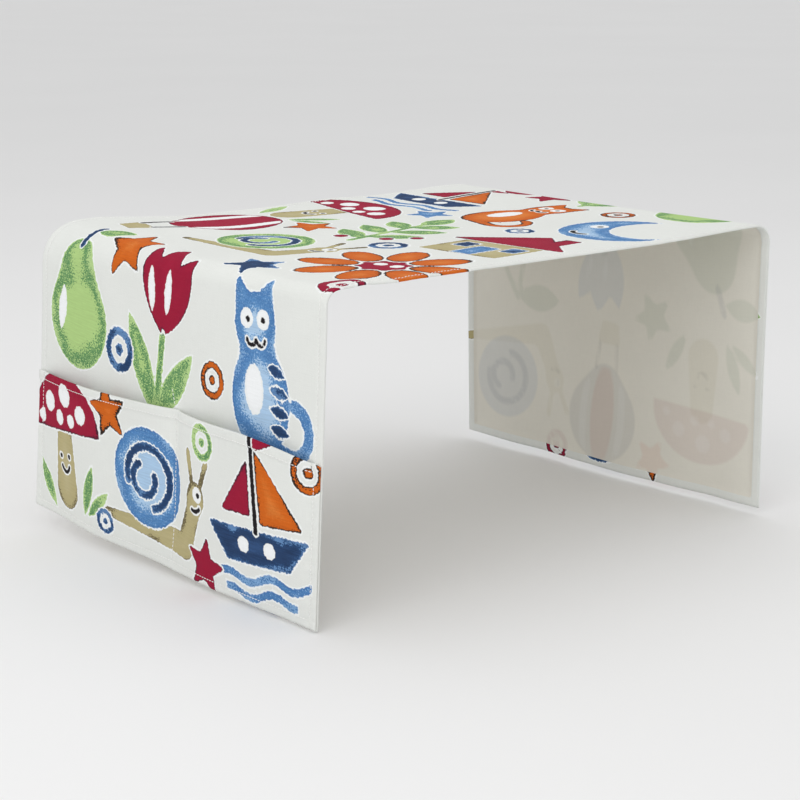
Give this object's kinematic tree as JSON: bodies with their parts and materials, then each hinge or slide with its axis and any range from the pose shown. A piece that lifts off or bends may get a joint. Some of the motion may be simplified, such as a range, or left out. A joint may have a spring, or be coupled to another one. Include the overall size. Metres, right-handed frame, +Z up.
{
  "type": "microwave cover",
  "caption": "Printed canvas dust cover that lies over the top of a microwave and hangs down both sides, with a divided pocket panel on one hanging end.",
  "frame": {"origin": "middle of the underside of the cloth's flat top, where it lies on what it covers", "axes": "+X along the cloth's length to the end without the pocket panel, +Y to the back, +Z up; the front of the covered appliance faces -Y"},
  "size_m": [0.5366, 0.4011, 0.274],
  "materials": {
    "printed_canvas": "matte, off-white cotton and linen canvas printed in crimson, green, blue, navy, orange and beige"
  },
  "bodies": {
    "root": {"cover_panel": "printed_canvas", "pocket_panel": "printed_canvas"}
  },
  "joints": []
}
